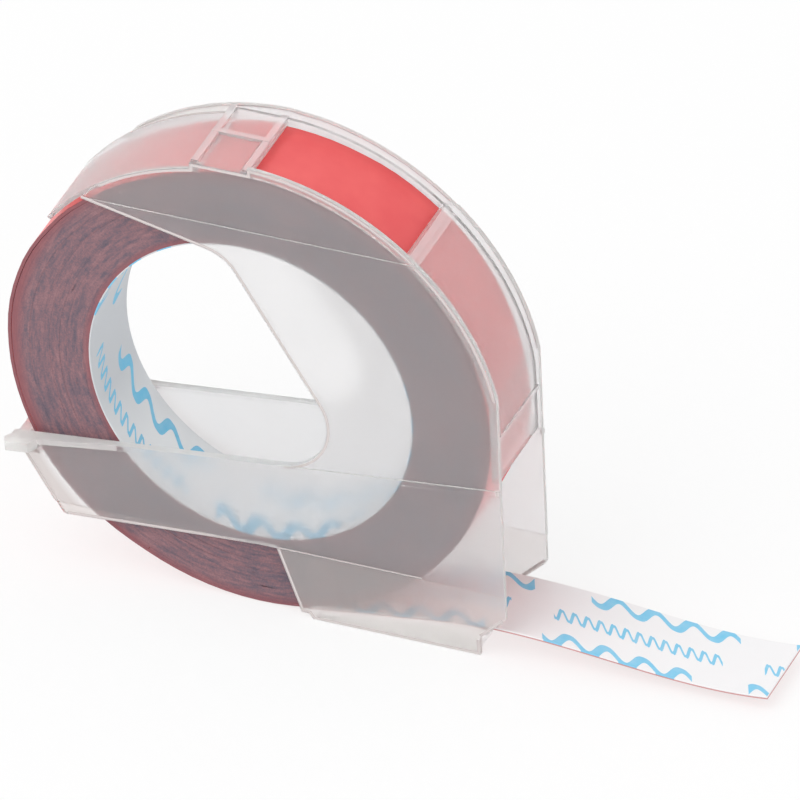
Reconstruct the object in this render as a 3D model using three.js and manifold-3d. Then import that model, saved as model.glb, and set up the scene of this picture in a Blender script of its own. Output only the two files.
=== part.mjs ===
// Embossing tape refill: a coil of 9 mm tape in a two-part frosted cassette, with its free end drawn out.
// Millimetres, +Z up. The tape comes out towards +X, and the front side plate faces -Y.
// Everything is drawn about the coil's axis, and the finished group is then set on its base.

import * as THREE from "three";
import * as BufferGeometryUtils from "three/addons/utils/BufferGeometryUtils.js";
import Module from "manifold-3d";

const wasm = await Module();
wasm.setup();

// Tape
const tapeWidth = 9;
const vinylThickness = 0.25;
const linerThickness = 0.1;
const tapePitch = vinylThickness + linerThickness;

// Coil
const coilRadius = 24.9;
const boreRadius = 16.85;
const drawOffSlopeDegrees = 7.5;
const turnEndGapDegrees = 0.8;
const turnLastGapDegrees = 10;

// Free end beyond the guide's crest: where its shallow wave is drawn to, and its cut tip
const sagReach = 12.9;
const sagRise = 0.73;
const liftReach = 21.9;
const liftDrop = 2.47;
const tipReach = 32.8;
const tipDrop = 1.17;

// Cassette walls and clearances
const sideClearance = 0.45;
const rimClearance = 0.7;
const leafClearance = 0.55;
const webClearance = 0.7;
const floorClearance = 0.1;
const guideClearance = 0.3;
const latchClearance = 0.15;
const panelClearance = 0.8;
const plateThickness = 0.6;
const plateStep = 0.15;
const rimThickness = 0.5;
const leafThickness = 0.4;

// Side plate outline
const tipDegrees = 130.3;
const tipInset = 0.45;
const tipCornerDegrees = 6;
const flangeProud = 0.7;
const leafFlangeProud = 0.05;
const crownX = 1.2;
const crownZ = 1;
const crownProud = 0.1;
const crownLeftDegrees = 129;
const crownJoinDegrees = 80;
const crownRightX = -0.2;
const crownRightZ = 0.15;
const rightEdgeMargin = 1.3;
const rightWallInset = 0.3;
const rightWallThickness = 0.65;
const rightWallBottomZ = -4.3;
const stepTopX = 2.3;
const stepBottomX = 4.7;
const footRise = 0.6;
const footLedge = 0.8;
const footChamfer = 0.4;
const lowerEdgeRise = 7.7;
const upperBandDrop = 5.4;
const chamferRun = 2.8;
const chamferBottomRise = 2;
const chamferTopRise = 4.7;
const lowerLeftInset = 4.8;
const lowerLeftDrop = 1.4;
const plateLeftProud = 0.2;
const plateCornerRadius = 0.6;

// Finger notch, open to the left above the rail
const notchTopX = -1.65;
const notchTopInset = 0.75;
const notchCornerInset = 5.05;
const notchTopRadius = 4.5;
const notchBottomRadius = 5.3;

// Rails
const railTiltDegrees = 5.9;
const railLevelZ = -7.55;
const railThickness = 0.6;
const railTaperX = -14;
const railProud = 0.7;
const railTailProud = 0.2;

// Ear at the rail's left end
const earLeftMargin = 0.7;
const earLength = 2.8;
const earSlant = 0.6;
const earThickness = 1.05;
const earProud = 1.65;
const earCornerRun = 0.4;
const earCornerProud = 0.85;

// Web that joins the rails beyond the coil
const webInset = 0.3;
const webHeight = 2.2;

// Rim wall, its ribs, latch and window
const leafEndDegrees = 142;
const latchLeftX = -4.9;
const latchRightX = 0.4;
const ribWidth = 0.7;
const ribProud = 0.15;
const latchSplitY = 0.2;
const latchBarWidth = 0.6;
const latchBarProud = 0.2;
const windowStartDegrees = 87.3;
const windowEndDegrees = 49.4;
const windowFrontMargin = 0.5;
const windowRearMargin = 0.35;
const windowBarDegrees = 1.6;
const windowBarGapDegrees = 0.5;
const wallRibZ = 0.3;
const wallRibHeight = 0.5;
const wallRibProud = 0.2;

// Guide ramp at the mouth
const guideStartInset = 0.3;
const guideCrestInset = 2.9;
const guideNoseDrop = 0.35;
const guideNoseInset = 0.4;

// Fineness of the curves, and how far a cutting body runs past what it cuts
const facetDegrees = 3;
const cornerFacetDegrees = 9;
const waveSteps = 24;
const weldTolerance = 1e-4;
const cutMargin = 2;

// Derived levels
const plateInnerY = tapeWidth / 2 + sideClearance;
const plateOuterY = plateInnerY + plateThickness;
const rimInnerRadius = coilRadius + rimClearance;
const rimOuterRadius = rimInnerRadius + rimThickness;
const leafInnerRadius = coilRadius + leafClearance;
const leafOuterRadius = leafInnerRadius + leafThickness;
const flangeRadius = rimOuterRadius + flangeProud;
const leafFlangeRadius = leafOuterRadius + leafFlangeProud;
const drawOffDegrees = drawOffSlopeDegrees - 90;
const turnDegrees = 360 - turnLastGapDegrees;
const baseZ = -coilRadius - floorClearance;
const lowerEdgeZ = baseZ + lowerEdgeRise;
const upperBandZ = coilRadius - upperBandDrop;
const latchTopZ = coilRadius + panelClearance + leafThickness;
const rightEdgeX = coilRadius + rightEdgeMargin;
const baseLeftX = stepBottomX + footLedge + footChamfer;
const baseRightX = rightEdgeX - chamferRun;
const guideNoseX = baseRightX - guideNoseInset;
const webOuterX = webInset - coilRadius;
const plateLeftX = -coilRadius - plateLeftProud;
const earLeftX = -coilRadius - earLeftMargin;
const earRightX = earLeftX + earLength + earSlant;
const rightWallOuterX = rightEdgeX - rightWallInset;
const rightWallInnerX = rightWallOuterX - rightWallThickness;
const railSlope = Math.tan(THREE.MathUtils.degToRad(railTiltDegrees));
const railZ = (x) => railLevelZ + railSlope * x;

// Colours
const frosted = new THREE.MeshStandardMaterial({
  color: 0xdfe3de,
  roughness: 0.45,
  transparent: true,
  opacity: 0.5,
});
const frostedRear = frosted.clone();
const vinylRed = new THREE.MeshStandardMaterial({ color: 0xe0443f, roughness: 0.35 });
const coilSide = new THREE.MeshStandardMaterial({ color: 0x86656a, roughness: 0.6 });
const linerPaper = new THREE.MeshStandardMaterial({ color: 0xf0ecec, roughness: 0.7 });

// Points and outlines in the side view, x to the right and z up
const point = (x, z) => new THREE.Vector2(x, z);

function onCircle(radius, degrees) {
  const angle = THREE.MathUtils.degToRad(degrees);
  return point(radius * Math.cos(angle), radius * Math.sin(angle));
}

function stepsBetween(from, to, facet = facetDegrees) {
  return Math.max(1, Math.ceil(Math.abs(to - from) / facet));
}

function arc(radius, from, to) {
  const steps = stepsBetween(from, to);
  return Array.from({ length: steps + 1 }, (_, i) => onCircle(radius, from + ((to - from) * i) / steps));
}

// A rounded corner between two straight edges
function rounded(before, corner, after, radius) {
  const incoming = before.clone().sub(corner).normalize();
  const outgoing = after.clone().sub(corner).normalize();
  const half = Math.acos(incoming.dot(outgoing)) / 2;
  const reach = radius / Math.tan(half);
  const start = corner.clone().addScaledVector(incoming, reach);
  const end = corner.clone().addScaledVector(outgoing, reach);
  const bisector = incoming.clone().add(outgoing).normalize();
  const centre = corner.clone().addScaledVector(bisector, radius / Math.sin(half));
  const startAngle = THREE.MathUtils.radToDeg(start.clone().sub(centre).angle());
  const endAngle = THREE.MathUtils.radToDeg(end.clone().sub(centre).angle());
  const turn = THREE.MathUtils.euclideanModulo(endAngle - startAngle + 180, 360) - 180;
  const steps = stepsBetween(0, turn, cornerFacetDegrees);
  return Array.from({ length: steps + 1 }, (_, i) =>
    onCircle(radius, startAngle + (turn * i) / steps).add(centre));
}

// Closed solids from outlines
function extruded(outline, fromY, toY, hole) {
  const shape = new THREE.Shape(outline);
  if (hole) shape.holes.push(new THREE.Path(hole));
  const geometry = new THREE.ExtrudeGeometry(shape, { depth: toY - fromY, bevelEnabled: false });
  geometry.rotateX(Math.PI / 2);
  geometry.translate(0, toY, 0);
  return geometry;
}

function box(fromX, toX, fromY, toY, fromZ, toZ) {
  const geometry = new THREE.BoxGeometry(toX - fromX, toY - fromY, toZ - fromZ);
  geometry.translate((fromX + toX) / 2, (fromY + toY) / 2, (fromZ + toZ) / 2);
  return geometry;
}

function mirroredY(geometry) {
  const copy = geometry.clone().toNonIndexed();
  copy.scale(1, -1, 1);
  const position = copy.getAttribute("position");
  for (let i = 0; i < position.count; i += 3) {
    const kept = [position.getX(i), position.getY(i), position.getZ(i)];
    position.setXYZ(i, position.getX(i + 1), position.getY(i + 1), position.getZ(i + 1));
    position.setXYZ(i + 1, ...kept);
  }
  return copy;
}

function solid(geometry) {
  const bare = geometry.clone();
  bare.deleteAttribute("normal");
  bare.deleteAttribute("uv");
  const merged = BufferGeometryUtils.mergeVertices(bare, weldTolerance);
  const mesh = new wasm.Mesh({
    numProp: 3,
    vertProperties: new Float32Array(merged.getAttribute("position").array),
    triVerts: new Uint32Array(merged.getIndex().array),
  });
  return new wasm.Manifold(mesh);
}

function joined(geometries) {
  return geometries.map(solid).reduce((whole, next) => whole.add(next));
}

function toGeometry(manifold) {
  const mesh = manifold.getMesh();
  const geometry = new THREE.BufferGeometry();
  geometry.setAttribute("position", new THREE.BufferAttribute(mesh.vertProperties, 3));
  geometry.setIndex(new THREE.BufferAttribute(mesh.triVerts, 1));
  geometry.computeVertexNormals();
  return geometry;
}

// Front plate's upper edge: round to the latch, flat along it, then round again
function frontCrown() {
  const latchEdgeX = latchRightX + ribWidth;
  const leafTop = THREE.MathUtils.radToDeg(Math.acos(latchLeftX / leafFlangeRadius));
  const flangeTop = THREE.MathUtils.radToDeg(Math.acos(latchEdgeX / flangeRadius));
  const flangeRight = THREE.MathUtils.radToDeg(Math.acos(rightEdgeX / flangeRadius));
  return [
    ...arc(leafFlangeRadius, tipDegrees - tipCornerDegrees, leafTop),
    point(latchLeftX, latchTopZ),
    point(latchEdgeX, latchTopZ),
    ...arc(flangeRadius, flangeTop, flangeRight),
  ];
}

// Rear plate's upper edge: one sweep behind the latch
function rearCrown() {
  const left = point(crownX, crownZ);
  const right = point(crownRightX, crownRightZ);
  const radius = flangeRadius + crownProud - crownZ;
  const end = THREE.MathUtils.radToDeg(Math.acos((rightEdgeX - crownRightX) / flangeRadius));
  return [
    ...arc(radius, crownLeftDegrees, 90).map((place) => place.add(left)),
    ...arc(flangeRadius, crownJoinDegrees, end).map((place) => place.add(right)),
  ];
}

// Side plate: straight down the right edge, flat on the base, open at the finger notch
function plateOutline(crown) {
  const tip = onCircle(leafFlangeRadius - tipInset, tipDegrees);
  const chamferTop = point(rightEdgeX, baseZ + chamferTopRise);
  const chamferBottom = point(baseRightX, baseZ + chamferBottomRise);
  const baseRight = point(baseRightX, baseZ);
  const baseLeft = point(baseLeftX, baseZ);
  const ledgeRight = point(stepBottomX + footLedge, baseZ + footRise);
  const ledgeLeft = point(stepBottomX, baseZ + footRise);
  const stepTop = point(stepTopX, lowerEdgeZ);
  const lowerLeft = point(lowerLeftInset - coilRadius, lowerEdgeZ - lowerLeftDrop);
  const railLeft = point(plateLeftX, railZ(plateLeftX));
  const notchCornerX = boreRadius - notchCornerInset;
  const notchBottom = point(notchCornerX, railZ(notchCornerX));
  const notchTop = point(notchTopX, boreRadius - notchTopInset);
  return [
    ...crown(),
    ...rounded(point(rightEdgeX, 0), chamferTop, chamferBottom, plateCornerRadius),
    ...rounded(chamferTop, chamferBottom, baseRight, plateCornerRadius),
    baseRight,
    baseLeft,
    ledgeRight,
    ledgeLeft,
    stepTop,
    ...rounded(stepTop, lowerLeft, railLeft, plateCornerRadius),
    railLeft,
    ...rounded(railLeft, notchBottom, notchTop, notchBottomRadius),
    ...rounded(notchBottom, notchTop, tip, notchTopRadius),
    tip,
  ];
}

// The plate is a little thinner above and below its middle band
function sidePlate(crown) {
  const outline = plateOutline(crown);
  const thin = solid(extruded(outline, -plateOuterY + plateStep, -plateInnerY));
  const band = box(-flangeRadius - cutMargin, flangeRadius + cutMargin, -plateOuterY - cutMargin, 0,
    lowerEdgeZ, upperBandZ);
  const full = solid(extruded(outline, -plateOuterY, -plateInnerY)).intersect(solid(band));
  return thin.add(full);
}

// A level shape seen from above, hung below the rail's sloping top
function hungFromRail(plan, thickness) {
  const shape = new THREE.Shape(plan);
  const geometry = new THREE.ExtrudeGeometry(shape, { depth: thickness, bevelEnabled: false });
  geometry.translate(0, 0, -thickness);
  const position = geometry.getAttribute("position");
  for (let i = 0; i < position.count; i += 1) {
    position.setZ(i, position.getZ(i) + railZ(position.getX(i)));
  }
  return geometry;
}

// Rail: a shelf along the plate that stands further out towards its left end
function rail() {
  const plan = [
    point(earRightX, -plateOuterY - railProud),
    point(railTaperX, -plateOuterY - railTailProud),
    point(rightEdgeX, -plateOuterY - railTailProud),
    point(rightEdgeX, -plateInnerY),
    point(webOuterX, -plateInnerY),
    point(webOuterX, -plateOuterY - railProud),
  ];
  return hungFromRail(plan, railThickness);
}

// Ear: the rail's thick left end, which stands out most
function ear() {
  const plan = [
    point(webOuterX, -plateInnerY),
    point(earLeftX, -plateOuterY - earCornerProud),
    point(earLeftX + earCornerRun, -plateOuterY - earProud),
    point(earRightX - earSlant, -plateOuterY - earProud),
    point(earRightX, -plateOuterY - railProud),
    point(earRightX, -plateInnerY),
  ];
  return hungFromRail(plan, earThickness);
}

function halfShell(crown) {
  return sidePlate(crown).add(solid(rail())).add(solid(ear()));
}

// Latch tab: the front shell's half of the panel between the two ribs
function latchTab(fromY, toY, clearance) {
  const left = latchLeftX + ribWidth + clearance;
  const right = latchRightX - clearance;
  return box(left, right, fromY, toY, latchTopZ - leafThickness, latchTopZ);
}

function frontShell() {
  const tab = latchTab(-plateOuterY + plateStep, latchSplitY - latchClearance, latchClearance);
  return toGeometry(halfShell(frontCrown).add(solid(tab)));
}

// Rim wall of the rear shell
function rimLeaf() {
  const leafTop = THREE.MathUtils.radToDeg(Math.acos(latchLeftX / leafOuterRadius));
  const outline = [
    ...arc(leafOuterRadius, leafEndDegrees, leafTop),
    ...arc(leafInnerRadius, leafTop, leafEndDegrees),
  ];
  return extruded(outline, -plateInnerY, plateInnerY);
}

function rimArch() {
  const outerStart = THREE.MathUtils.radToDeg(Math.acos((latchRightX + ribWidth) / rimOuterRadius));
  const innerStart = THREE.MathUtils.radToDeg(Math.acos((latchRightX + ribWidth) / rimInnerRadius));
  const outerEnd = THREE.MathUtils.radToDeg(Math.acos(rightWallOuterX / rimOuterRadius));
  const innerEnd = THREE.MathUtils.radToDeg(Math.acos(rightWallInnerX / rimInnerRadius));
  const outline = [
    ...arc(rimOuterRadius, outerStart, outerEnd),
    point(rightWallOuterX, rightWallBottomZ),
    point(rightWallInnerX, rightWallBottomZ),
    ...arc(rimInnerRadius, innerEnd, innerStart),
  ];
  return extruded(outline, -plateInnerY, plateInnerY);
}

function rimWindow() {
  const inner = rimInnerRadius - cutMargin;
  const outer = rimOuterRadius + cutMargin;
  const outline = [
    ...arc(outer, windowStartDegrees, windowEndDegrees),
    ...arc(inner, windowEndDegrees, windowStartDegrees),
  ];
  return extruded(outline, -plateInnerY + windowFrontMargin, plateInnerY - windowRearMargin);
}

function windowBar() {
  const from = windowEndDegrees - windowBarGapDegrees;
  const to = from - windowBarDegrees;
  const outer = rimOuterRadius + ribProud;
  const inner = rimInnerRadius + rimThickness / 2;
  return extruded([...arc(outer, from, to), ...arc(inner, to, from)], -plateInnerY, plateInnerY);
}

function crossRib(fromX, bottomZ, topZ) {
  return box(fromX, fromX + ribWidth, -plateInnerY, plateInnerY, bottomZ, topZ);
}

function rimParts() {
  const leafRibBottom = Math.sqrt(leafInnerRadius ** 2 - latchLeftX ** 2);
  const panelZ = latchTopZ - leafThickness;
  return [
    rimLeaf(),
    rimArch(),
    windowBar(),
    crossRib(latchLeftX, leafRibBottom, latchTopZ + ribProud),
    crossRib(latchRightX, panelZ, rimOuterRadius + ribProud),
    box(latchLeftX, latchRightX + ribWidth, latchSplitY, plateInnerY, panelZ, latchTopZ),
    box(latchLeftX, latchRightX + ribWidth, latchSplitY, latchSplitY + latchBarWidth, panelZ,
      latchTopZ + latchBarProud),
    box(rightWallInnerX, rightWallOuterX + wallRibProud, -plateInnerY, plateInnerY, wallRibZ,
      wallRibZ + wallRibHeight),
  ];
}

// Free end: straight from the coil over the guide, then a shallow wave to the tip
const drawOff = onCircle(coilRadius, drawOffDegrees);
const drawDirection = onCircle(1, drawOffDegrees + 90);
const drawUp = onCircle(1, drawOffDegrees + 180);
const alongTape = (x) => drawOff.clone().addScaledVector(drawDirection, (x - drawOff.x) / drawDirection.x);
const crest = alongTape(guideNoseX - guideCrestInset);

function tonguePath() {
  const beyond = (reach, rise) => crest.clone().add(point(reach, rise));
  const sag = beyond(sagReach, sagRise);
  const lift = beyond(liftReach, -liftDrop);
  const wave = new THREE.CubicBezierCurve(crest, sag, lift, beyond(tipReach, -tipDrop));
  const startGap = coilRadius * THREE.MathUtils.degToRad(turnEndGapDegrees);
  return [drawOff.clone().addScaledVector(drawDirection, startGap), ...wave.getSpacedPoints(waveSteps)];
}

function pathNormals(path) {
  return path.map((here, i) => {
    const before = path[Math.max(0, i - 1)];
    const after = path[Math.min(path.length - 1, i + 1)];
    const along = i === 0 ? path[1].clone().sub(here) : after.clone().sub(before);
    return point(-along.y, along.x).normalize();
  });
}

function strip(path, fromHeight, toHeight) {
  const normals = pathNormals(path);
  const lower = path.map((here, i) => here.clone().addScaledVector(normals[i], fromHeight));
  const upper = path.map((here, i) => here.clone().addScaledVector(normals[i], toHeight));
  return extruded([...lower, ...upper.reverse()], -tapeWidth / 2, tapeWidth / 2);
}

// Guide ramp under the free end
function guideRamp() {
  const start = alongTape(baseLeftX + guideStartInset).addScaledVector(drawUp, -guideClearance);
  const top = crest.clone().addScaledVector(drawUp, -guideClearance);
  const nose = point(guideNoseX, top.y - guideNoseDrop);
  const outline = [point(start.x, baseZ), start, top, nose, point(guideNoseX, baseZ)];
  return extruded(outline, -plateInnerY, plateInnerY);
}

// Web between the rails, beyond the coil's left side
function railWeb() {
  const topZ = railZ(webOuterX);
  const seatX = (z) => -Math.sqrt((coilRadius + webClearance) ** 2 - z ** 2);
  const bottomZ = topZ - webHeight;
  const outline = [
    point(webOuterX, topZ),
    point(webOuterX + railSlope, bottomZ),
    point(seatX(bottomZ), bottomZ),
    point(seatX((topZ + bottomZ) / 2), (topZ + bottomZ) / 2),
    point(seatX(topZ), topZ),
  ];
  return extruded(outline, -plateInnerY, plateInnerY);
}

function rearShell() {
  const walls = joined([...rimParts(), guideRamp(), railWeb()]);
  const half = solid(mirroredY(toGeometry(halfShell(rearCrown))));
  return toGeometry(half.add(walls).subtract(solid(rimWindow())));
}

// Coil: a plain wound core with one real outer turn and the liner bared in its bore
const turnOuter = (swept) => coilRadius - (tapePitch * swept) / 360;
const turnInner = (swept) => turnOuter(swept) - tapePitch;

function sweep(radiusAt, from, to) {
  const steps = stepsBetween(from, to);
  return Array.from({ length: steps + 1 }, (_, i) => {
    const swept = from + ((to - from) * i) / steps;
    return onCircle(radiusAt(swept), drawOffDegrees - swept);
  });
}

function outerTurnOutlines() {
  const last = turnDegrees - turnEndGapDegrees;
  return {
    outer: sweep(turnOuter, turnEndGapDegrees, last),
    inner: sweep(turnInner, turnEndGapDegrees, last),
  };
}

function outerTurn() {
  const { outer, inner } = outerTurnOutlines();
  return extruded([...outer, ...inner.reverse()], -tapeWidth / 2, tapeWidth / 2);
}

// Full circles, left open by one facet because outlines close by themselves
const circle = (radius) => arc(radius, 0, 360 - facetDegrees);

function woundCore() {
  const { inner } = outerTurnOutlines();
  const outline = [
    onCircle(turnInner(0), drawOffDegrees),
    ...inner,
    onCircle(turnInner(turnDegrees), drawOffDegrees - turnDegrees),
    ...sweep(turnOuter, turnDegrees, 360 - turnEndGapDegrees),
  ];
  return extruded(outline, -tapeWidth / 2, tapeWidth / 2, circle(boreRadius + linerThickness));
}

function boreLiner() {
  return extruded(circle(boreRadius + linerThickness), -tapeWidth / 2, tapeWidth / 2, circle(boreRadius));
}

// Wound length, and the outer turn's least gap to itself, measured on its points
const woundLength = (Math.PI * (coilRadius ** 2 - boreRadius ** 2)) / tapePitch;
const turnPoints = outerTurnOutlines();
const firstEnd = [turnPoints.outer[0], turnPoints.inner[0]];
const lastEnd = [turnPoints.outer.at(-1), turnPoints.inner.at(-1)];
const endGap = Math.min(...firstEnd.flatMap((a) => lastEnd.map((b) => a.distanceTo(b))));
console.log(`wound length ${woundLength.toFixed(0)} mm`);
console.log(`outer turn's least gap to itself ${endGap.toFixed(2)} mm`);

// Assembly
const refill = new THREE.Group();

function add(name, geometry, material) {
  const mesh = new THREE.Mesh(geometry, material);
  mesh.name = name;
  refill.add(mesh);
}

add("front_shell", frontShell(), frosted);
add("rear_shell", rearShell(), frostedRear);
add("tape_coil", woundCore(), coilSide);
add("coil_outer_turn", outerTurn(), vinylRed);
add("coil_bore_liner", boreLiner(), linerPaper);
add("free_tape", strip(tonguePath(), 0, vinylThickness), vinylRed);
add("free_liner", strip(tonguePath(), vinylThickness, tapePitch), linerPaper);

// The origin is the middle of the base, under the whole refill
const bounds = new THREE.Box3().setFromObject(refill);
const centre = bounds.getCenter(new THREE.Vector3());
refill.position.set(-centre.x, -centre.y, -bounds.min.z);

const part = new THREE.Group();
part.add(refill);

export default part;
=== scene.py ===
# Embossing tape refill: the looks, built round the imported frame.
# Lengths are in millimetres about the coil's axis, and at() turns them into metres in the row's frame.

import math
import random
from collections import namedtuple

import bmesh
import bpy
from mathutils import Matrix, Vector

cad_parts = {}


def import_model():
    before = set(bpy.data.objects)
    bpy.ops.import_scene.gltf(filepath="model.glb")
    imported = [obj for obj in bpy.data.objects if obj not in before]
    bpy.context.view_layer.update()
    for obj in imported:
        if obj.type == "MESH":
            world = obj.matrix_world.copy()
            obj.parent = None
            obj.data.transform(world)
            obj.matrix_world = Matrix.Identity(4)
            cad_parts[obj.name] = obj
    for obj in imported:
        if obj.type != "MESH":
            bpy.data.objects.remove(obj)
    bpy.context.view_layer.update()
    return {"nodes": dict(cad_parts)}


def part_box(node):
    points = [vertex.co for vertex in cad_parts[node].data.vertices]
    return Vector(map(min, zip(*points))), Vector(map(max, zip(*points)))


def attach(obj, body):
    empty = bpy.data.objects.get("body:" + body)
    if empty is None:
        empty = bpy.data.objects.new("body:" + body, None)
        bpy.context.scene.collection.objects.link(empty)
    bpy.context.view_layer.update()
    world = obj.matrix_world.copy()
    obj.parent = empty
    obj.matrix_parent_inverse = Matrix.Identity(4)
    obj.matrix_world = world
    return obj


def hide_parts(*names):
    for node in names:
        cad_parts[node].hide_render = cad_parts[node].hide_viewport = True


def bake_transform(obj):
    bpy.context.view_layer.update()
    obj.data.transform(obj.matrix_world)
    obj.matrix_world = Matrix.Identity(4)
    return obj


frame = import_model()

MM = 0.001

# Tape and coil
TAPE_WIDTH = 9.0
HALF_WIDTH = TAPE_WIDTH / 2
VINYL_THICKNESS = 0.25
LINER_THICKNESS = 0.1
TAPE_PITCH = VINYL_THICKNESS + LINER_THICKNESS
COIL_RADIUS = 24.9
BORE_RADIUS = 16.85
DRAW_OFF_DEGREES = -82.5
TURN_STEP_DEGREES = 4.0
STEPS_A_TURN = 360 / TURN_STEP_DEGREES
STRIP_ROUNDING = 0.04

# The coil's turns, counted inwards from the draw-off point
UNWOUND_TURNS = 0.079
OUTER_TURNS = 1.1
TURN_GAP = 0.0004

# Its outermost turns are loose: how far they bulge at each angle, and how much of that each turn takes
BULGE = ((-82.5, 0.0), (-45, 0.12), (0, 0.42), (45, 0.62), (62, 0.65), (72, 0.52), (90, 0.42), (103, 0.15),
         (115, 0.02), (128, 0.05), (142, 0.35), (158, 0.68), (170, 0.76), (182, 0.68), (205, 0.6), (222, 0.4),
         (244, 0.0), (277.5, 0.0))
LOOSENESS = ((0, 1.0), (8, 0.0), (100, 0.0))

# How far the outermost turn leans to the rear plate at each angle
REARWARD = ((-180, 0.0), (0, 0.0), (42, 0.36), (88, 0.36), (118, 0.0), (180, 0.0))

# The wound turns: each reaches in under the next, stands a little inside the tape's width and wanders
WOUND_OVERLAP = 0.16
WOUND_INSET = 0.04
WOUND_ROUNDING = 0.015
WANDER_SEED = 7
WANDER_SIZE = 0.03
WANDER_VALUES = 200
WANDERS_A_TURN = 3

# The liner bared in the bore, all but closed
BORE_LINER_THICKNESS = 0.16
BORE_LINER_INSET = 0.01
BORE_LINER_START = -60.0
BORE_LINER_SWEEP = 359.85
BORE_LINER_STEP = 3.0

# Free end, measured from the guide's crest. Its first steps belong to the strip that leaves the coil
CREST_X = 20.1
SAG = (12.9, 0.73)
LIFT = (21.9, -2.47)
TIP = (32.8, -1.17)
STRAIGHT_STEPS = 24
JOINED_STEPS = 3
WAVE_STEPS = 72
FREE_VINYL_TOP = VINYL_THICKNESS - 0.08
FREE_VINYL_INSET = 0.01
FREE_LINER_FOOT = VINYL_THICKNESS - 0.075
FREE_LINER_ROUNDING = 0.03

# Cassette: y is counted from the middle of the tape's width, the flange by radius and the skirt by height
PLATE_INNER_Y = 4.95
PLATE_MIDDLE_Y = 5.25
PLATE_OUTER_Y = 5.9
WALL_WITHIN_Y = 4.85
FLANGE_FROM = 25.8
SKIRT_TOP = -17.2
SEAM_GAP = 0.02
EDGE_ROUNDING = 0.1
ROUNDED_FROM_DEGREES = 28
MERGED_WITHIN = 0.001
FLAT_WITHIN_DEGREES = 0.4
LEVEL_WITHIN = 0.01
SHALLOW_STEP = 0.3
SHORT_EDGE = 0.2
RIB_WIDTH = 0.8
RIB_LENGTH = 2.0
FACING_OUT = 0.8

# Pale lines of painted highlight along the plates' cut edges: where they lie beside the edge and how far they
# stand out
LINE_FROM = 0.07
LINE_TO = 0.34
LINE_LIFT = 0.02
FOLDED_BACK = -0.2
CREASE = ((2.5, -17.3), (17.6, -17.3))
CREASE_Y = 5.55
CREASE_WIDTH = 0.1

bore_low, bore_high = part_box("coil_bore_liner")
AXIS = (bore_low + bore_high) / 2


def at(x, y, z):
    """A point in metres in the row's frame, from millimetres about the coil's axis."""
    return AXIS + Vector((x, y, z)) * MM


# Nodes
def node(tree, kind, inputs=None, **settings):
    """A shader node with its settings, its inputs linked or set."""
    made = tree.nodes.new(kind)
    for name, value in settings.items():
        setattr(made, name, value)
    for name, value in (inputs or {}).items():
        socket = made.inputs[name]
        if isinstance(value, bpy.types.NodeSocket):
            tree.links.new(value, socket)
        else:
            socket.default_value = value
    return made


def math_node(tree, operation, *values):
    return node(tree, "ShaderNodeMath", dict(enumerate(values)), operation=operation).outputs[0]


def plus(tree, a, b):
    return math_node(tree, "ADD", a, b)


def times(tree, a, b):
    return math_node(tree, "MULTIPLY", a, b)


def rising(tree, value, start, end):
    """0 up to where the value reaches the start, and 1 from where it reaches the end."""
    return node(tree, "ShaderNodeMapRange", {"Value": value, 1: start, 2: end}).outputs[0]


def ramp(tree, factor, *stops):
    """A colour ramp: stops are (position, (r, g, b))."""
    made = node(tree, "ShaderNodeValToRGB", {"Fac": factor})
    elements = made.color_ramp.elements
    while len(elements) < len(stops):
        elements.new(0.5)
    for element, (position, colour) in zip(elements, stops):
        element.position = position
        element.color = (*colour, 1.0)
    return made.outputs["Color"]


def mixed(tree, factor, a, b):
    """Colour a, turning into colour b as the factor goes from 0 to 1."""
    made = node(tree, "ShaderNodeMix", {0: factor}, data_type="RGBA")
    for index, value in ((6, a), (7, b)):
        if isinstance(value, bpy.types.NodeSocket):
            tree.links.new(value, made.inputs[index])
        else:
            made.inputs[index].default_value = (*value, 1.0)
    return made.outputs[2]


def noise(tree, vector, scale, detail=2.0, roughness=0.5):
    made = node(tree, "ShaderNodeTexNoise", {"Vector": vector, "Scale": scale, "Detail": detail,
                                             "Roughness": roughness})
    return made.outputs["Fac"]


def bump(tree, height, strength, distance):
    values = {"Height": height, "Strength": strength, "Distance": distance * MM}
    return node(tree, "ShaderNodeBump", values).outputs[0]


def place_in_mm(tree):
    """The piece's own coordinates, in millimetres about the coil's axis."""
    own = node(tree, "ShaderNodeTexCoord").outputs["Object"]
    moved = node(tree, "ShaderNodeVectorMath", {0: own, 1: AXIS}, operation="SUBTRACT").outputs[0]
    return node(tree, "ShaderNodeVectorMath", {0: moved, "Scale": 1 / MM}, operation="SCALE").outputs[0]


def separated(tree, vector):
    return node(tree, "ShaderNodeSeparateXYZ", {0: vector}).outputs


def radius_of(tree, x, z):
    return math_node(tree, "SQRT", plus(tree, times(tree, x, x), times(tree, z, z)))


def coil_coordinates(tree, along, across):
    """Seamless coordinates round the coil: fine across the turns and long along them. Also the radius."""
    x, _, z = separated(tree, place_in_mm(tree))
    radius = radius_of(tree, x, z)
    parts = {
        0: times(tree, math_node(tree, "DIVIDE", x, radius), along),
        1: times(tree, radius, across),
        2: times(tree, math_node(tree, "DIVIDE", z, radius), along),
    }
    return node(tree, "ShaderNodeCombineXYZ", parts).outputs[0], radius


def material(name):
    """A new material, with its node tree and its shader."""
    made = bpy.data.materials.new(name)
    made.use_nodes = True
    tree = made.node_tree
    return made, tree, tree.nodes["Principled BSDF"]


def set_sockets(shader, values):
    for name, value in values.items():
        shader.inputs[name].default_value = value


# Materials
# Painted shade on the plate's low left end: from what radius and below what height
SHADED_PAST_RADIUS = (24.9, 25.6)
SHADED_BELOW = -5.0
MID_GREY = (0.5, 0.5, 0.5)
EDGE_RED = (0.30, 0.075, 0.085)
WAVE_BLUE = (0.13, 0.56, 0.83)
WAVE_LEAN = 0.45
STROKE_SWELL = 0.14
LOW_PAPER_HEIGHTS = (-5.0, -12.0)


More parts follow.
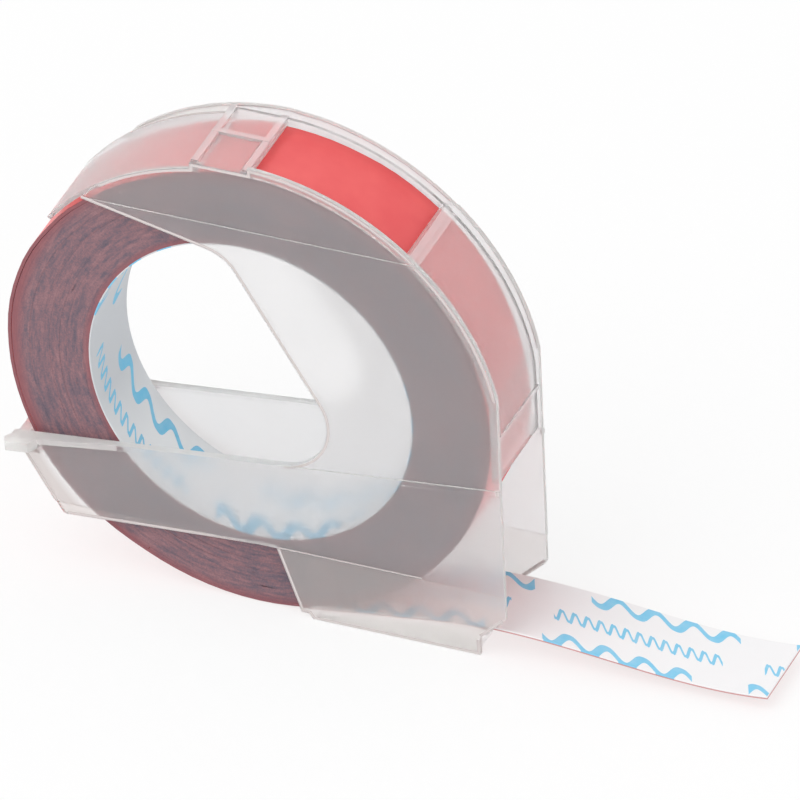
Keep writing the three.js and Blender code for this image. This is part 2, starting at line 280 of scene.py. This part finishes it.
def frosted_plastic(name, clearness, softness, ior, colour, cloud, shaded_end_colour=None):
    """Frosted polypropylene: it passes light softly, with a fine moulded grain and faint clouds. The
    end colour is painted shade: the low left end of the plate, past the coil, is painted darker and warmer."""
    made, tree, shader = material(name)
    place = place_in_mm(tree)
    clouds = noise(tree, place, scale=0.16, detail=3.0)
    dark = tuple(c * (1 - cloud) for c in colour)
    shade = ramp(tree, clouds, (0.35, dark), (0.65, colour))
    # Painted shade: darker and warmer at the plate's low left end, past the coil
    if shaded_end_colour:
        x, _, z = separated(tree, place)
        past = rising(tree, radius_of(tree, x, z), *SHADED_PAST_RADIUS)
        left = math_node(tree, "LESS_THAN", x, 0.0)
        low = math_node(tree, "LESS_THAN", z, SHADED_BELOW)
        shade = mixed(tree, times(tree, past, times(tree, left, low)), shade, shaded_end_colour)
    tree.links.new(shade, shader.inputs["Base Color"])
    grain = noise(tree, place, scale=3.2, detail=4.0, roughness=0.6)
    tree.links.new(bump(tree, grain, strength=0.2, distance=0.05), shader.inputs["Normal"])
    set_sockets(shader, {"Roughness": 0.32, "IOR": ior, "Transmission Weight": clearness,
                         "Subsurface Weight": softness, "Subsurface Radius": (1.0, 1.0, 1.0),
                         "Subsurface Scale": 0.8 * MM})
    return made


def plain(name, colour):
    made, _, shader = material(name)
    set_sockets(shader, {"Base Color": (*colour, 1.0), "Roughness": 0.45})
    return made


def red_vinyl(name, low, high):
    """Calendered vinyl with faint clouds between two colours and a fine grain."""
    made, tree, shader = material(name)
    place = place_in_mm(tree)
    shade = noise(tree, place, scale=0.22, detail=3.0)
    tree.links.new(ramp(tree, shade, (0.3, low), (0.7, high)), shader.inputs["Base Color"])
    grain = noise(tree, place, scale=6.0, detail=3.0)
    tree.links.new(bump(tree, grain, strength=0.12, distance=0.03), shader.inputs["Normal"])
    set_sockets(shader, {"Roughness": 0.38})
    return made


def coil_edge():
    """The wound layers seen edge on: red-brown and mauve, with slate lines along the turns and speckles."""
    made, tree, shader = material("coil_edge")
    fine_place, radius = coil_coordinates(tree, along=13.0, across=2.9)
    bold_place, _ = coil_coordinates(tree, along=4.5, across=1.4)
    place = place_in_mm(tree)
    fine_lines = noise(tree, fine_place, scale=1.0, detail=3.0, roughness=0.6)
    bold_lines = noise(tree, bold_place, scale=1.0, detail=2.0)
    speckles = noise(tree, place, scale=5.5, detail=4.0, roughness=0.75)
    clouds = noise(tree, place, scale=0.14, detail=2.0)
    weight = 0.0
    for layer, share in ((fine_lines, 0.34), (bold_lines, 0.17), (speckles, 0.35), (clouds, 0.14)):
        weight = plus(tree, weight, times(tree, layer, share))
    body = ramp(tree, weight, (0.38, (0.095, 0.08, 0.115)), (0.46, (0.165, 0.11, 0.14)),
                (0.53, (0.25, 0.13, 0.15)), (0.63, (0.345, 0.18, 0.195)))
    outer = rising(tree, radius, COIL_RADIUS - 1.2, COIL_RADIUS - 0.1)
    inner = rising(tree, radius, BORE_RADIUS + 0.9, BORE_RADIUS + 0.2)
    rings = math_node(tree, "MAXIMUM", outer, inner)
    tree.links.new(mixed(tree, times(tree, rings, 0.7), body, EDGE_RED), shader.inputs["Base Color"])
    tree.links.new(bump(tree, fine_lines, strength=0.3, distance=0.08), shader.inputs["Normal"])
    set_sockets(shader, {"Roughness": 0.5})
    return made


# A row of waves: where it lies across the strip, the waves' size, how much of each period it fills and its
# shift along the strip, all in millimetres
Waves = namedtuple("Waves", "across height length thickness run period shift")


def wave_ink(tree, along, across, waves):
    """1 on the strokes of one row of waves and 0 beside them. The strokes swell and thin as they wind."""
    aside = math_node(tree, "SUBTRACT", across, waves.across)
    leaning = plus(tree, plus(tree, along, waves.shift), times(tree, aside, WAVE_LEAN))
    turns = times(tree, leaning, math.tau / waves.length)
    rise = times(tree, math_node(tree, "SINE", turns), waves.height / 2)
    slope = times(tree, math_node(tree, "COSINE", turns), waves.height / 2 * math.tau / waves.length)
    steep = math_node(tree, "SQRT", plus(tree, times(tree, slope, slope), 1.0))
    off = math_node(tree, "ABSOLUTE", math_node(tree, "SUBTRACT", aside, rise))
    reach = math_node(tree, "DIVIDE", off, steep)
    wider = times(tree, math_node(tree, "COSINE", turns), waves.thickness * STROKE_SWELL)
    stroke = math_node(tree, "LESS_THAN", reach, plus(tree, wider, waves.thickness / 2))
    within = math_node(tree, "LESS_THAN", math_node(tree, "FLOORED_MODULO", leaning, waves.period), waves.run)
    return times(tree, stroke, within)


def printed_liner(name, paper, low_paper, rows):
    """Release liner with rows of generic blue waves. The UV map holds millimetres along the strip and across
    it. In the bore the paper is painted shade for the bore's sides, and the low paper is for the bottom of
    the bore, which catches more light than the bore's sides."""
    made, tree, shader = material(name)
    along, across, _ = separated(tree, node(tree, "ShaderNodeUVMap", uv_map="strip_mm").outputs[0])
    ink = 0.0
    for waves in rows:
        ink = math_node(tree, "MAXIMUM", ink, wave_ink(tree, along, across, waves))
    place = place_in_mm(tree)
    low = rising(tree, separated(tree, place)[2], *LOW_PAPER_HEIGHTS)
    grey = times(tree, noise(tree, place, scale=0.3, detail=3.0), 0.08)
    tone = mixed(tree, grey, mixed(tree, low, paper, low_paper), MID_GREY)
    worn = plus(tree, times(tree, noise(tree, place, scale=0.9, detail=3.0), 0.3), 0.7)
    tree.links.new(mixed(tree, times(tree, ink, worn), tone, WAVE_BLUE), shader.inputs["Base Color"])
    grain = noise(tree, place, scale=5.0, detail=3.0)
    tree.links.new(bump(tree, grain, strength=0.15, distance=0.02), shader.inputs["Normal"])
    set_sockets(shader, {"Roughness": 0.55})
    return made


# The plate's end colour is painted shade
PLATE = frosted_plastic("frosted_plate", clearness=0.86, softness=0.6, ior=1.35, colour=(0.97, 0.96, 0.963),
                        cloud=0.03, shaded_end_colour=(0.79, 0.745, 0.73))
WALL = frosted_plastic("frosted_wall", clearness=0.82, softness=0.3, ior=1.2, colour=(1.0, 0.99, 0.99),
                       cloud=0.01)
EDGE = frosted_plastic("frosted_edge", clearness=0.52, softness=0.3, ior=1.3, colour=(0.99, 0.985, 0.965),
                       cloud=0.01)
SKIRT = frosted_plastic("frosted_skirt", clearness=0.76, softness=0.6, ior=1.35, colour=(0.96, 0.93, 0.905),
                        cloud=0.03)
RIB = frosted_plastic("frosted_rib", clearness=0.55, softness=0.3, ior=1.2, colour=(1.0, 0.97, 0.97),
                      cloud=0.01)
# Painted highlight: an opaque pale colour for the light that gathers in the plates' cut edges and rounded
# edges
PAINTED_EDGE_HIGHLIGHT = plain("painted_highlight_cut_edge", (0.66, 0.60, 0.59))
VINYL = red_vinyl("embossing_vinyl", (0.79, 0.085, 0.09), (0.85, 0.115, 0.115))
VINYL_CUT = red_vinyl("cut_vinyl", (0.60, 0.30, 0.30), (0.66, 0.34, 0.34))
COIL_EDGE = coil_edge()
LINER = printed_liner("release_liner", (0.91, 0.91, 0.92), (0.91, 0.91, 0.92), (
    Waves(8.0, 1.5, 3.9, 0.75, 15.6, 21.5, -6.8),
    Waves(4.3, 1.25, 1.35, 0.34, 17.6, 22.0, 18.1),
    Waves(0.6, 1.5, 3.9, 0.75, 15.6, 21.5, -4.7),
))
# Painted shade: the same paper as the free end's liner, painted darker on the bore's sides where shade falls,
# and kept pale at its bottom, which catches more light
SHADED_BORE_LINER = printed_liner("release_liner_in_bore_painted_shade", (0.66, 0.675, 0.70), (0.92, 0.925, 0.93), (
    Waves(6.5, 1.7, 3.9, 0.8, 15.6, 21.5, -9.1),
    Waves(2.3, 1.25, 1.35, 0.34, 17.6, 43.0, -28.0),
    Waves(1.2, 1.9, 3.9, 1.2, 15.6, 43.0, -6.3),
))

# A shell's materials and their places in its list
SHELL_MATERIALS = (PLATE, WALL, EDGE, PAINTED_EDGE_HIGHLIGHT, SKIRT, RIB)
ON_PLATE, ON_WALL, ON_EDGE, ON_PAINTED_HIGHLIGHT, ON_SKIRT, ON_RIB = range(len(SHELL_MATERIALS))


# Meshes
SMOOTH_WITHIN_DEGREES = 40.0
FLAT_SIDES = (0, 4)


def mesh_object(name, points, faces, materials):
    mesh = bpy.data.meshes.new(name)
    mesh.from_pydata(points, [], faces)
    mesh.validate()
    for finish in materials:
        mesh.materials.append(finish)
    made = bpy.data.objects.new(name, mesh)
    bpy.context.scene.collection.objects.link(made)
    mesh.shade_smooth()
    mesh.set_sharp_from_angle(angle=math.radians(SMOOTH_WITHIN_DEGREES))
    return made


def circle_point(radius, degrees):
    angle = math.radians(degrees)
    return radius * math.cos(angle), radius * math.sin(angle)


def strip_section(inner, outer, half_width, edge):
    """A strip's cross-section with rounded edges: (height, y) pairs, round from the inner face's front. The
    two flat faces are the sides counted in FLAT_SIDES."""
    edge = min(edge, (outer - inner) / 2.5)
    return [
        (inner, -half_width + edge), (inner, half_width - edge),
        (inner + edge, half_width), (outer - edge, half_width),
        (outer, half_width - edge), (outer, -half_width + edge),
        (outer - edge, -half_width), (inner + edge, -half_width),
    ]


def swept_strip(name, path, section, materials, shift=None):
    """A strip swept along path, a list of (x, z, normal x, normal z, distance along). The section's faces
    take the first material, and its narrow edges and ends the last."""
    count = len(section)
    narrow = len(materials) - 1
    points = []
    for index, (x, z, nx, nz, _) in enumerate(path):
        moved = shift(index) if shift else 0.0
        for height, y in section:
            points.append(at(x + nx * height, y + moved, z + nz * height))
    faces, uvs, slots = [], [], []
    for i in range(len(path) - 1):
        for k in range(count):
            n = (k + 1) % count
            faces.append((i * count + k, i * count + n, (i + 1) * count + n, (i + 1) * count + k))
            low, high = path[i][4], path[i + 1][4]
            a, b = section[k][1] + HALF_WIDTH, section[n][1] + HALF_WIDTH
            uvs.append(((low, a), (low, b), (high, b), (high, a)))
            slots.append(0 if k in FLAT_SIDES else narrow)
    last = (len(path) - 1) * count
    faces.append(tuple(reversed(range(count))))
    faces.append(tuple(last + k for k in range(count)))
    made = mesh_object(name, points, faces, materials)
    layer = made.data.uv_layers.new(name="strip_mm")
    for polygon, corners, slot in zip(made.data.polygons, uvs, slots):
        for loop, corner in zip(polygon.loop_indices, corners):
            layer.data[loop].uv = corner
        polygon.material_index = slot
    for polygon in made.data.polygons[-2:]:
        polygon.material_index = narrow
    return made


# Cassette: the imported shells with softened edges. The light that gathers in their cut edges is painted on
# as pale lines
def faces_a_side(face):
    return abs(face.normal.y) > 0.5


def depth(face):
    """How far a face reaches in the plates' thickness, in millimetres."""
    heights = [vertex.co.y for vertex in face.verts]
    return (max(heights) - min(heights)) / MM


def is_cut_edge(loop):
    """Whether the side plate ends at this edge of its outer face, at more than a shallow step or a fillet."""
    if loop.edge.calc_length() < SHORT_EDGE * MM:
        return False
    level = abs(loop.vert.co.y)
    for face in loop.edge.link_faces:
        if face is not loop.face and not faces_a_side(face) and depth(face) > SHALLOW_STEP:
            return max(abs(vertex.co.y) for vertex in face.verts) < level + LEVEL_WITHIN * MM
    return False


def is_rib(face, centre):
    """Whether a face of the wall is the narrow top of a rib."""
    radial = Vector((centre.x, 0, centre.z)).normalized()
    tangent = Vector((radial.z, 0, -radial.x))
    corners = [(vertex.co - AXIS) / MM for vertex in face.verts]
    widths = []
    for direction in (tangent, Vector((0, 1, 0))):
        places = [corner.dot(direction) for corner in corners]
        widths.append(max(places) - min(places))
    return face.normal.dot(radial) > FACING_OUT and min(widths) < RIB_WIDTH and max(widths) > RIB_LENGTH


def chains(flags):
    """Runs of neighbouring places round a closed loop whose flag is set, each as a list of indices."""
    count = len(flags)
    starts = [i for i in range(count) if flags[i] and not flags[i - 1]] or ([0] if all(flags) else [])
    runs = []
    for start in starts:
        run = []
        while len(run) < count and flags[(start + len(run)) % count]:
            run.append((start + len(run)) % count)
        runs.append(run)
    return runs


def mitred(a, b):
    """The sideways step at a corner between two edges with these inward directions."""
    if a is None or b is None or a.dot(b) < FOLDED_BACK:
        return b if a is None else a
    return (a + b) / (1 + a.dot(b))


def painted_highlight_lines(name, faces, flanges):
    """Slim bars of painted highlight, let in just inside the cut edges of the plate's outer faces and along
    its flange's foot, and one along its crease."""
    points, quads = [], []

    def bar(stations, width=LINE_TO - LINE_FROM):
        """A closed bar through stations of (place, sideways step, outward direction)."""
        first = len(points)
        for place, aside, out in stations:
            far = LINE_FROM + width
            for across, height in ((LINE_FROM, -1), (LINE_FROM, 1), (far, 1), (far, -1)):
                points.append(place + (aside * across + out * LINE_LIFT * height) * MM)
        for i in range(first, len(points) - 4, 4):
            quads.extend((i + 4 + k, i + 4 + (k + 1) % 4, i + (k + 1) % 4, i + k) for k in range(4))
        quads.append(tuple(range(first, first + 4)))
        quads.append(tuple(range(len(points) - 1, len(points) - 5, -1)))

    for face in faces + flanges:
        loops = list(face.loops)
        count = len(loops)
        aside, out = [], []
        for loop in loops:
            run = loop.link_loop_next.vert.co - loop.vert.co
            beside = [other for other in loop.edge.link_faces if other is not face][0]
            if face in flanges:
                foot = not faces_a_side(beside) and not loop.edge.is_convex
                aside.append(face.normal.copy() if foot else None)
                out.append(beside.normal.copy())
            else:
                aside.append(face.normal.cross(run).normalized() if is_cut_edge(loop) else None)
                out.append(face.normal.copy())
        for run in chains([step is not None for step in aside]):
            stations = []
            for i in run:
                stations.append((loops[i].vert.co, mitred(aside[i - 1], aside[i]), out[i]))
            last, after = run[-1], (run[-1] + 1) % count
            stations.append((loops[after].vert.co, mitred(aside[after], aside[last]), out[last]))
            bar(stations)
    side = math.copysign(1.0, faces[0].normal.y)
    ends = CREASE if side < 0 else CREASE[::-1]
    up, outwards = Vector((0, 0, 1)), Vector((0, side, 0))
    bar([(at(x, side * CREASE_Y, z), up, outwards) for x, z in ends], CREASE_WIDTH)
    made = mesh_object(name, points, quads, (PAINTED_EDGE_HIGHLIGHT,))
    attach(made, "cassette")


def sort_faces(faces):
    """Give each face of a shell its material, and list the plate's outer faces and its flange's faces."""
    outer_faces, flanges = [], []
    for face in faces:
        centre = (face.calc_center_median() - AXIS) / MM
        if faces_a_side(face):
            outwards = face.normal.y * centre.y > 0
            reach = min((vertex.co - AXIS).xz.length for vertex in face.verts) / MM
            top = max((vertex.co - AXIS).z for vertex in face.verts) / MM
            flange = not outwards and reach > FLANGE_FROM
            rail = outwards and abs(centre.y) >= PLATE_OUTER_Y
            skirt = outwards and top < SKIRT_TOP
            face.material_index = ON_EDGE if flange or rail else ON_SKIRT if skirt else ON_PLATE
            if flange:
                flanges.append(face)
            if outwards and PLATE_MIDDLE_Y < abs(centre.y) < PLATE_OUTER_Y:
                outer_faces.append(face)
        elif abs(centre.y) < WALL_WITHIN_Y:
            face.material_index = ON_RIB if is_rib(face, centre) else ON_WALL
        else:
            face.material_index = ON_EDGE
        face.smooth = True
    return outer_faces, flanges


def soften(made):
    """Rounded edges in the painted highlight colour, which show as pale lines, and even shading between them.
    """
    rounding = made.modifiers.new("edges", "BEVEL")
    rounding.width = EDGE_ROUNDING * MM
    rounding.segments = 2
    rounding.limit_method = "ANGLE"
    rounding.angle_limit = math.radians(ROUNDED_FROM_DEGREES)
    rounding.material = ON_PAINTED_HIGHLIGHT
    evened = made.modifiers.new("normals", "WEIGHTED_NORMAL")
    evened.mode = "FACE_AREA"
    evened.weight = 100


def shell(cad_name, name, has_seam):
    """A shell with its looks. The seam is where the rim wall meets the other plate, and it stands back
    a little from it."""
    mesh = frame["nodes"][cad_name].data.copy()
    mesh.name = name
    mesh.materials.clear()
    for finish in SHELL_MATERIALS:
        mesh.materials.append(finish)
    made = bpy.data.objects.new(name, mesh)
    bpy.context.scene.collection.objects.link(made)
    body = bmesh.new()
    body.from_mesh(mesh)
    bmesh.ops.remove_doubles(body, verts=body.verts, dist=MERGED_WITHIN * MM)
    bmesh.ops.dissolve_limit(body, angle_limit=math.radians(FLAT_WITHIN_DEGREES), verts=body.verts,
                             edges=body.edges)
    for vertex in body.verts:
        if has_seam and abs(vertex.co.y + PLATE_INNER_Y * MM) < LEVEL_WITHIN * MM:
            vertex.co.y += SEAM_GAP * MM
    body.normal_update()
    outer_faces, flanges = sort_faces(body.faces)
    painted_highlight_lines(name + "_lines", outer_faces, flanges)
    body.to_mesh(mesh)
    body.free()
    soften(made)
    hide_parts(cad_name)
    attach(made, "cassette")


shell("front_shell", "front_shell_frosted", False)
shell("rear_shell", "rear_shell_frosted", True)


# Paths of the tape, as lists of (x, z, normal x, normal z, distance along)
def smooth(share):
    return share * share * (3 - 2 * share)


def interpolated(stops, place):
    """The value at a place among stops of (place, value), with smooth steps between them."""
    for (a, low), (b, high) in zip(stops, stops[1:]):
        if place <= b:
            return low + (high - low) * smooth((place - a) / (b - a))
    return stops[-1][1]


def coil_path(from_turn, to_turn):
    """The spiral's path from one count of turns to another, outermost first."""
    steps = max(2, round((to_turn - from_turn) * STEPS_A_TURN))
    path, distance, before = [], 0.0, None
    for i in range(steps + 1):
        turns = from_turn + (to_turn - from_turn) * i / steps
        degrees = DRAW_OFF_DEGREES - 360 * turns
        angle = (degrees - DRAW_OFF_DEGREES) % 360 + DRAW_OFF_DEGREES
        bulge = interpolated(BULGE, angle) * interpolated(LOOSENESS, turns)
        radius = COIL_RADIUS - TAPE_PITCH * turns + bulge
        x, z = circle_point(radius, degrees)
        if before:
            distance += math.hypot(x - before[0], z - before[1])
        before = (x, z)
        path.append((x, z, x / radius, z / radius, distance))
    return path


def ring_path(radius, from_degrees, to_degrees, step):
    count = round(abs(to_degrees - from_degrees) / step)
    path = []
    for i in range(count + 1):
        degrees = from_degrees + (to_degrees - from_degrees) * i / count
        x, z = circle_point(radius, degrees)
        path.append((x, z, x / radius, z / radius, math.radians(degrees - from_degrees) * radius))
    return path


def bezier(a, b, c, d, t):
    s = 1 - t
    return tuple(s ** 3 * p + 3 * s * s * t * q + 3 * s * t * t * r + t ** 3 * w
                 for p, q, r, w in zip(a, b, c, d))


def free_path():
    """The path from the draw-off point to the guide's crest and on over the wave. Also the crest."""
    start = circle_point(COIL_RADIUS, DRAW_OFF_DEGREES)
    slope = math.tan(math.radians(DRAW_OFF_DEGREES + 90))
    crest = (CREST_X, start[1] + slope * (CREST_X - start[0]))
    beyond = [(crest[0] + x, crest[1] + z) for x, z in (SAG, LIFT, TIP)]
    line = [(start[0] + (crest[0] - start[0]) * i / STRAIGHT_STEPS,
             start[1] + (crest[1] - start[1]) * i / STRAIGHT_STEPS) for i in range(STRAIGHT_STEPS)]
    line += [bezier(crest, *beyond, i / WAVE_STEPS) for i in range(WAVE_STEPS + 1)]
    path, distance = [], 0.0
    for i, (x, z) in enumerate(line):
        before, after = line[max(0, i - 1)], line[min(len(line) - 1, i + 1)]
        dx, dz = after[0] - before[0], after[1] - before[1]
        length = math.hypot(dx, dz)
        if i:
            distance += math.hypot(x - line[i - 1][0], z - line[i - 1][1])
        path.append((x, z, -dz / length, dx / length, distance))
    return path, crest


tongue, crest = free_path()

# Coil
outer_section = strip_section(-TAPE_PITCH, 0.0, HALF_WIDTH, STRIP_ROUNDING)
outer_path = coil_path(UNWOUND_TURNS, OUTER_TURNS)


def outer_shift(index):
    """The outermost turn leans to the rear plate under the window."""
    x, z = outer_path[index][:2]
    return interpolated(REARWARD, math.degrees(math.atan2(z, x)))


def wandering(seed, steps_a_turn, size):
    """How far each turn of the coil stands sideways: a different amount for each turn, drifting along it."""
    source = random.Random(seed)
    values = [source.uniform(-size, size) for _ in range(WANDER_VALUES)]

    def shift(index):
        place = index / steps_a_turn * WANDERS_A_TURN
        first = int(place)
        share = smooth(place - first)
        return values[first % WANDER_VALUES] * (1 - share) + values[(first + 1) % WANDER_VALUES] * share
    return shift


outer_turn = swept_strip("outer_turn", outer_path, outer_section, (VINYL, COIL_EDGE), outer_shift)
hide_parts("coil_outer_turn")
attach(outer_turn, "coil")

# The stretch that leaves the coil, with its first steps off it. It is not attached to the coil and stays put
# as the coil turns
unwound_path = [(x, z, -nx, -nz, 0.0) for x, z, nx, nz, _ in tongue[JOINED_STEPS:0:-1]]
unwound_path += coil_path(0.0, UNWOUND_TURNS)
unwound = swept_strip("outer_turn_start", unwound_path, outer_section, (VINYL, COIL_EDGE))
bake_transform(unwound)

last_turn = (COIL_RADIUS - BORE_RADIUS - TAPE_PITCH - BORE_LINER_THICKNESS) / TAPE_PITCH
wound_path = coil_path(OUTER_TURNS + TURN_GAP, last_turn)
wound_section = strip_section(-TAPE_PITCH - WOUND_OVERLAP, 0.0, HALF_WIDTH - WOUND_INSET, WOUND_ROUNDING)
wound = swept_strip("wound_tape", wound_path, wound_section, (COIL_EDGE,),
                    wandering(WANDER_SEED, STEPS_A_TURN, WANDER_SIZE))
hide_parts("tape_coil")
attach(wound, "coil")

bore_path = ring_path(BORE_RADIUS, BORE_LINER_START, BORE_LINER_START + BORE_LINER_SWEEP, BORE_LINER_STEP)
bore_section = strip_section(0.0, BORE_LINER_THICKNESS - BORE_LINER_INSET, HALF_WIDTH, STRIP_ROUNDING)
bore_liner = swept_strip("bore_liner", bore_path, bore_section, (SHADED_BORE_LINER,))
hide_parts("coil_bore_liner")
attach(bore_liner, "coil")

# Free end
free_run = tongue[JOINED_STEPS:]
vinyl_section = strip_section(0.0, FREE_VINYL_TOP, HALF_WIDTH - FREE_VINYL_INSET, STRIP_ROUNDING)
liner_section = strip_section(FREE_LINER_FOOT, TAPE_PITCH, HALF_WIDTH, FREE_LINER_ROUNDING)
free_tape = swept_strip("free_vinyl", free_run, vinyl_section, (VINYL, VINYL_CUT))
free_liner = swept_strip("free_liner_printed", free_run, liner_section, (LINER,))
for piece, cad_name, slot in (
    (free_tape, "free_tape", "red_vinyl"),
    (free_liner, "free_liner", "printed_liner"),
):
    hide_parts(cad_name)
    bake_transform(piece)

# Floor, world and lights
FLOOR_SIZE = 6.0
FLOOR_COLOUR = (0.95, 0.95, 0.95)
FLOOR_WHITENESS = 0.75
SKY_LIGHT = 0.8
WHITE = (1.0, 1.0, 1.0, 1.0)
LAMP_TARGET = (0, 0, 0.025)


def seen_rays(tree):
    """1 for what the camera sees, directly, through plastic or in a gloss, and 0 for light on the object."""
    rays = node(tree, "ShaderNodeLightPath").outputs
    return math_node(tree, "MAXIMUM", rays["Is Camera Ray"],
                     math_node(tree, "MAXIMUM", rays["Is Glossy Ray"], rays["Is Transmission Ray"]))


def floor():
    corners = [Vector((x * FLOOR_SIZE, y * FLOOR_SIZE, 0)) for x, y in ((-1, -1), (1, -1), (1, 1), (-1, 1))]
    made, tree, shader = material("pale_floor")
    set_sockets(shader, {"Base Color": (*FLOOR_COLOUR, 1.0), "Roughness": 0.9, "Specular IOR Level": 0.0})
    white = node(tree, "ShaderNodeEmission", {"Color": WHITE, "Strength": 1.0})
    share = times(tree, seen_rays(tree), FLOOR_WHITENESS)
    blend = node(tree, "ShaderNodeMixShader", {0: share, 1: shader.outputs[0], 2: white.outputs[0]})
    tree.links.new(blend.outputs[0], tree.nodes["Material Output"].inputs["Surface"])
    plane = mesh_object("floor", corners, [(0, 1, 2, 3)], (made,))


def world():
    made = bpy.data.worlds.new("studio")
    bpy.context.scene.world = made
    made.use_nodes = True
    tree = made.node_tree
    background = tree.nodes["Background"]
    strength = node(tree, "ShaderNodeMapRange", {"Value": seen_rays(tree), 3: SKY_LIGHT, 4: 1.0}).outputs[0]
    background.inputs["Color"].default_value = WHITE
    tree.links.new(strength, background.inputs["Strength"])


def lamp(name, place, size, power):
    light = bpy.data.lights.new(name, "AREA")
    light.shape = "DISK"
    light.size = size
    light.energy = power
    made = bpy.data.objects.new(name, light)
    bpy.context.scene.collection.objects.link(made)
    made.location = place
    made.rotation_mode = "QUATERNION"
    made.rotation_quaternion = (Vector(LAMP_TARGET) - Vector(place)).to_track_quat("-Z", "Y")
    made.visible_camera = False


floor()
world()
lamp("key", place=(-0.35, -0.45, 0.9), size=0.9, power=3.6)
lamp("fill", place=(0.7, -0.7, 0.35), size=0.9, power=1.1)

# Camera: the photograph's viewing angle, from far off
VIEW_AZIMUTH = 24.178
VIEW_ELEVATION = 35.136
VIEW_ROLL = -2.537
VIEW_DISTANCE = 2000.0
VIEW_CLIP_METRES = 20.0
PIXELS_PER_MM = 10.378
AXIS_PIXEL = (268.977, 365.75)
PHOTO_PIXELS = 800
SENSOR_MM = 36.0


def camera():
    azimuth, elevation, roll = map(math.radians, (VIEW_AZIMUTH, VIEW_ELEVATION, VIEW_ROLL))
    ahead = Vector((-math.sin(azimuth) * math.cos(elevation), math.cos(azimuth) * math.cos(elevation),
                    -math.sin(elevation)))
    level = Vector((math.cos(azimuth), math.sin(azimuth), 0))
    upright = level.cross(ahead)
    right = level * math.cos(roll) + upright * math.sin(roll)
    up = upright * math.cos(roll) - level * math.sin(roll)
    middle = PHOTO_PIXELS / 2
    aside = (middle - AXIS_PIXEL[0]) / PIXELS_PER_MM
    above = (AXIS_PIXEL[1] - middle) / PIXELS_PER_MM
    data = bpy.data.cameras.new("camera")
    data.sensor_width = SENSOR_MM
    data.lens = SENSOR_MM * VIEW_DISTANCE * PIXELS_PER_MM / PHOTO_PIXELS
    data.clip_end = VIEW_CLIP_METRES
    made = bpy.data.objects.new("camera", data)
    bpy.context.scene.collection.objects.link(made)
    place = AXIS + (right * aside + up * above - ahead * VIEW_DISTANCE) * MM
    made.matrix_world = Matrix((
        (right.x, up.x, -ahead.x, place.x),
        (right.y, up.y, -ahead.y, place.y),
        (right.z, up.z, -ahead.z, place.z),
        (0.0, 0.0, 0.0, 1.0),
    ))
    bpy.context.scene.camera = made


camera()
bpy.context.scene.view_settings.view_transform = "Standard"
